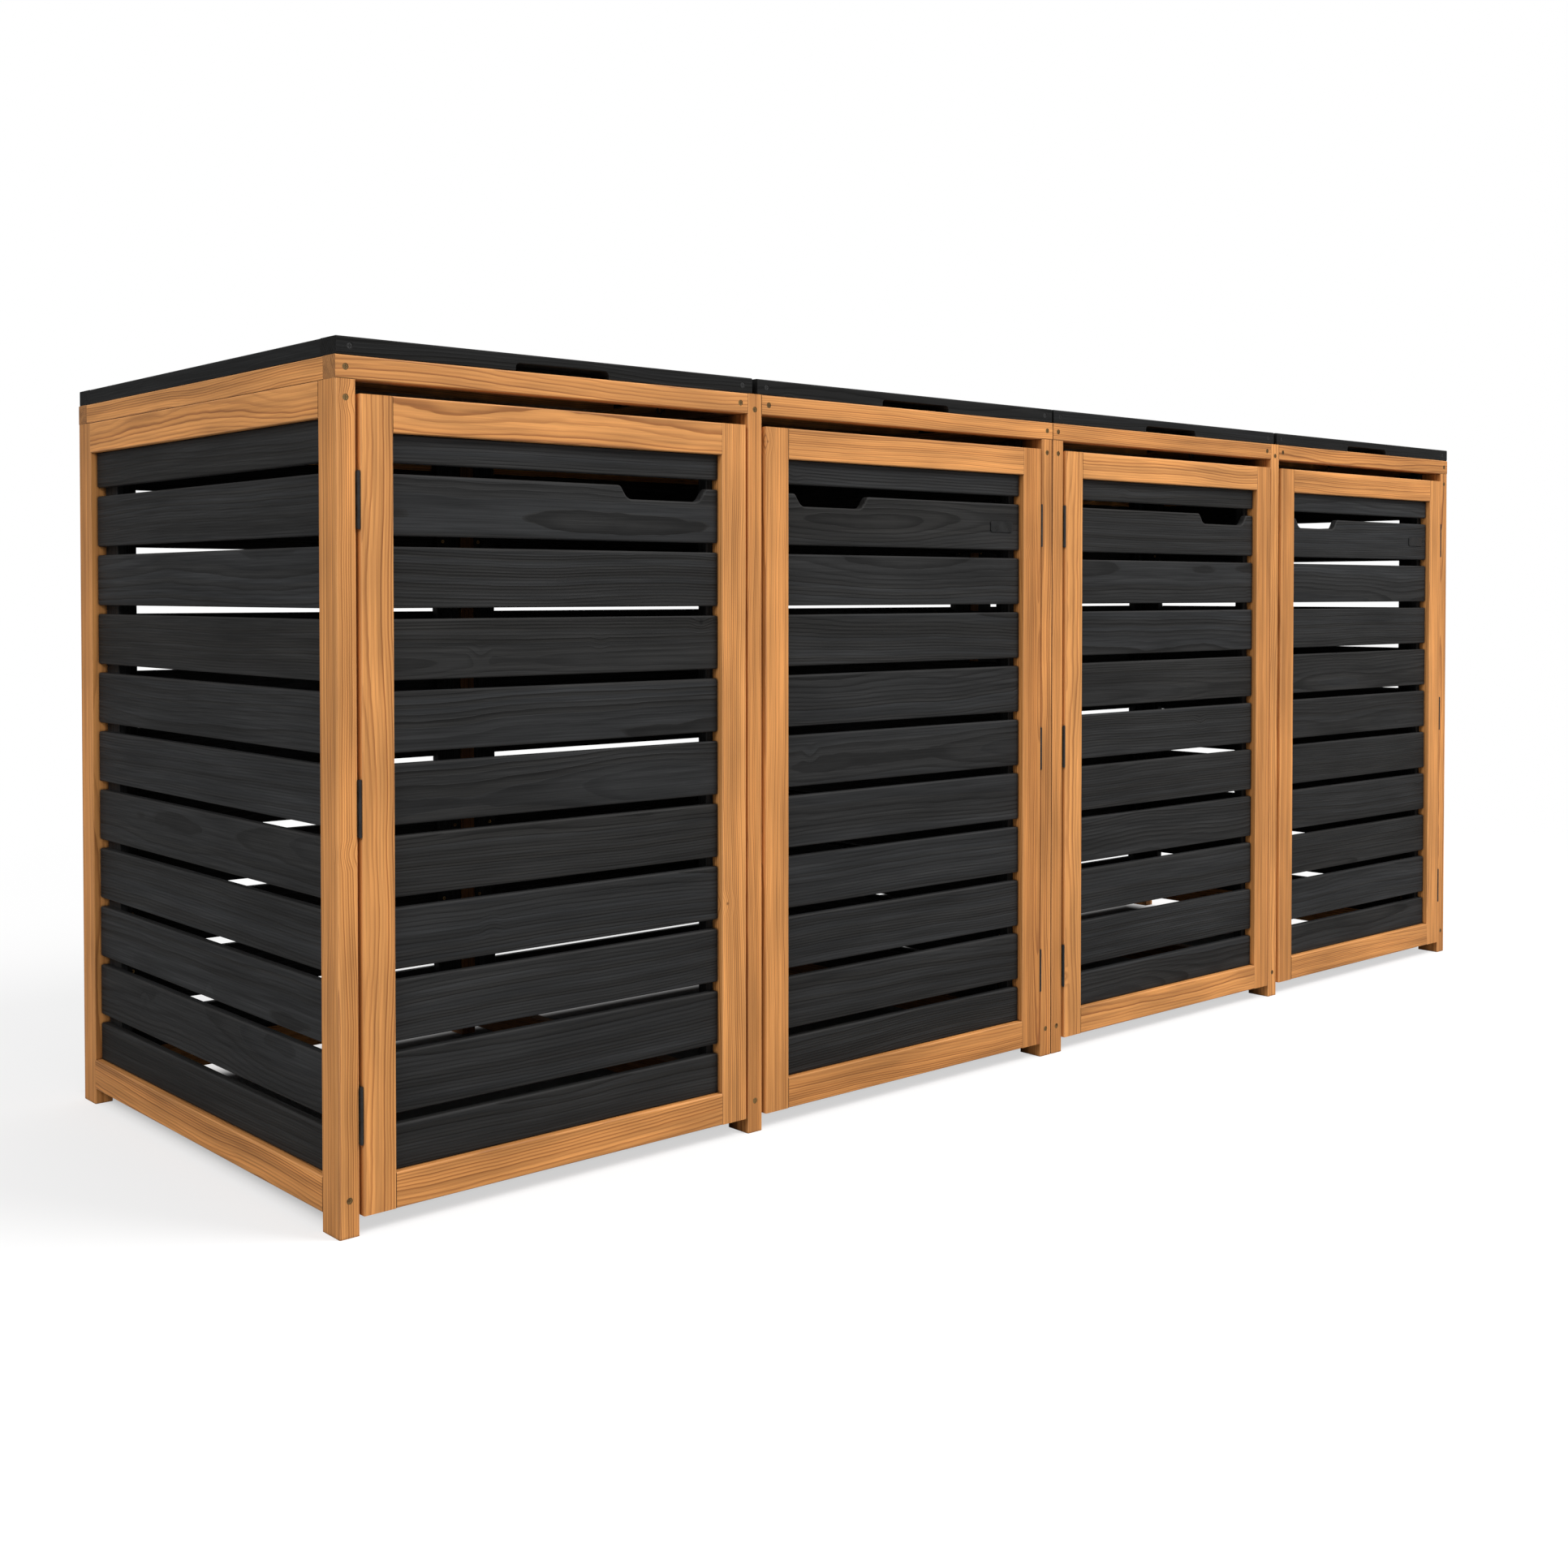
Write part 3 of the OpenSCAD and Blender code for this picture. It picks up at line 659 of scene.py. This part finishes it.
def screw_head():
    """A closed countersunk head with a cross recess. Its face looks along +Z, just above z = 0."""
    head = bmesh.new()
    rim = ring_of(head, SCREW_R, SCREW_PROUD)
    foot = ring_of(head, SCREW_R / 2, -SCREW_DEEP)
    mouth = cross_of(head, 1.0, SCREW_PROUD)
    floor = cross_of(head, CROSS_TAPER, SCREW_PROUD - SCREW_DEEP / 2)
    bridge(head, foot, rim)
    bridge(head, floor, mouth)
    head.faces.new(foot)
    head.faces.new(floor)
    outline = [head.edges.get((loop[i - 1], loop[i])) for loop in (rim, mouth) for i in range(len(loop))]
    bmesh.ops.triangle_fill(head, use_beauty=True, edges=outline)
    bmesh.ops.recalc_face_normals(head, faces=head.faces)
    mesh = bpy.data.meshes.new("screw_head")
    head.to_mesh(mesh)
    head.free()
    return mesh


def add_screws(head, name, body, places):
    """One piece that holds a screw head at each place; a place is a point and the way the head faces."""
    heads = bmesh.new()
    for number, (point, out) in enumerate(places):
        face_out = out.to_track_quat("Z", "Y").to_matrix().to_4x4()
        turn = Matrix.Rotation(SCREW_TURN * number, 4, "Z")
        place = Matrix.Translation(point) @ face_out @ turn
        first = len(heads.verts)
        heads.from_mesh(head)
        heads.verts.ensure_lookup_table()
        bmesh.ops.transform(heads, matrix=place, verts=heads.verts[first:])
    mesh = bpy.data.meshes.new(name)
    heads.to_mesh(mesh)
    heads.free()
    mesh.materials.append(FINISHES["zinc"])
    piece = bpy.data.objects.new(name, mesh)
    bpy.context.scene.collection.objects.link(piece)
    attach(piece, body)


def contact_screws(batten, board):
    """Where a batten is screwed to a board that it lies against: at two points on a diagonal, or at one.

    Each place is a point and the way the head faces.
    """
    (low, high), (board_low, board_high) = batten, board
    start = Vector(map(max, low, board_low))
    end = Vector(map(min, high, board_high))
    shared = end - start
    through = min(range(3), key=lambda axis: abs(shared[axis]))
    if abs(shared[through]) > TOUCH or sorted(shared)[1] < SCREW_ROOM:
        return []
    outwards = 1 if low[through] + high[through] > board_low[through] + board_high[through] else -1
    middle = (start + end) / 2
    middle[through] = high[through] if outwards > 0 else low[through]
    out = Vector([outwards if axis == through else 0 for axis in range(3)])
    offset = shared * SCREW_SPREAD
    offset[through] = 0
    points = (middle - offset, middle + offset) if max(shared) > SCREW_PAIR else (middle,)
    return [(point, out) for point in points]


def crossing_screws(battens, boards):
    """Every place where a batten of one node is screwed to a board of the others."""
    board_boxes = [box for node in boards for box in solids(node)]
    places = []
    for batten in solids(battens):
        for board in board_boxes:
            places += contact_screws(batten, board)
    return places


def lid_leaf_screws(node, standing):
    """Three screws along each lid hinge leaf of a node, whose leaves stand up or hang down."""
    places = []
    for low, high in solids(node):
        z = high.z - LEAF_INSET if standing else low.z + LEAF_INSET
        for step in (-1, 0, 1) if high.x - low.x > LEAF_LENGTH else ():
            x = (low.x + high.x) / 2 + step * LEAF_STEP
            places.append((Vector((x, low.y + LID_LEAF_T, z)), Vector((0, 1, 0))))
    return places


def door_leaf_screws(node, moving):
    """Three screws along each door hinge leaf. A fixed leaf faces its door, a moving one the post."""
    places = []
    doors = [sum(corner.x for corner in map(Vector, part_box(f"door_{n}_rails"))) / 2 for n in BAYS]
    for low, high in solids(node):
        x = (low.x + high.x) / 2
        door = min(doors, key=lambda middle: abs(middle - x))
        out = 1 if (door > x) != moving else -1
        face = low.x + DOOR_LEAF_T if out > 0 else high.x - DOOR_LEAF_T
        for step in (-1, 0, 1) if high.z - low.z > LEAF_LENGTH else ():
            z = (low.z + high.z) / 2 + step * LEAF_STEP
            places.append((Vector((face, high.y - LEAF_INSET, z)), Vector((out, 0, 0))))
    return places


def add_small_screws():
    """The screws that hold slats and boards to their battens, and the hinge leaves' screws."""
    head = screw_head()
    for unit in ("left_unit", "right_unit"):
        slats = (f"{unit}_side_slats", f"{unit}_back_slats")
        add_screws(head, f"{unit}_small_screws", "root", crossing_screws(f"{unit}_battens", slats))
    fixed = door_leaf_screws("door_hinge_fixed_leaves", False)
    fixed += lid_leaf_screws("lid_hinge_fixed_leaves", False)
    add_screws(head, "hinge_leaf_screws", "root", fixed)
    for n in BAYS:
        door, lid = f"door_{n}", f"lid_{n}"
        on_door = crossing_screws(f"{door}_battens", [f"{door}_slats"])
        on_door += door_leaf_screws(f"{door}_fittings", True)
        add_screws(head, f"{door}_small_screws", door, on_door)
        on_lid = crossing_screws(f"{lid}_battens", [f"{lid}_boards"])
        on_lid += lid_leaf_screws(f"{lid}_fittings", True)
        add_screws(head, f"{lid}_small_screws", lid, on_lid)


# ---------------------------------------------------------------- the object

FINISHES = {
    "frame_timber": frame_timber(),
    "dark_slats": dark_timber("dark_stained_slats", early=0.0215, late=0.0085, spacing=0.0042,
                              shine=0.14, bump=0.9),
    "dark_lid": dark_timber("dark_stained_lids", early=0.0105, late=0.0055, spacing=0.0038,
                            shine=0.12, bump=0.7),
    "black_steel": metal("black_coated_steel", grey(0.012), grey(0.020), metallic=0.0, rough=0.42,
                         bump=0.25, Specular_IOR_Level=0.4),
    "zinc": metal("yellow_zinc", (0.42, 0.27, 0.11, 1), (0.15, 0.09, 0.045, 1), metallic=1.0,
                  rough=0.36, bump=0.12),
    "black_plastic": metal("black_plastic", grey(0.016), grey(0.024), metallic=0.0, rough=0.50,
                           bump=0.3, Specular_IOR_Level=0.4),
    "blank_plate": metal("blank_plate", grey(0.006), grey(0.010), metallic=0.0, rough=0.32,
                         bump=0.15, Specular_IOR_Level=0.4),
}
EDGES = {"slats": SLAT_EDGE, "boards": LID_EDGE, "battens": BATTEN_EDGE}
WOODS = ("frame_timber", "dark_slats", "dark_lid")


def edge_of(name):
    """How far a node's arrises are rounded. The posts and rails of the frame come with theirs."""
    kind = name.split("_")[-1]
    if name.startswith("lid") and kind == "frame":
        return LID_EDGE
    return EDGES.get(kind)


def finish_nodes():
    """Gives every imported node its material, and the boards their edges and grain."""
    group = grain_nodes()
    for seed, (name, piece) in enumerate(sorted(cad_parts.items())):
        slot = piece.material_slots[0].material.name
        if slot in WOODS:
            dress_boards(piece, edge_of(name), seed, group)
        piece.material_slots[0].material = FINISHES[slot]


make_camera()
make_floor()
make_world()
make_light("key", KEY_PLACE, KEY_SIZE, KEY_POWER)
make_light("side", SIDE_PLACE, SIDE_SIZE, SIDE_POWER)
finish_nodes()
add_small_screws()
bpy.context.scene.view_settings.view_transform = "Standard"
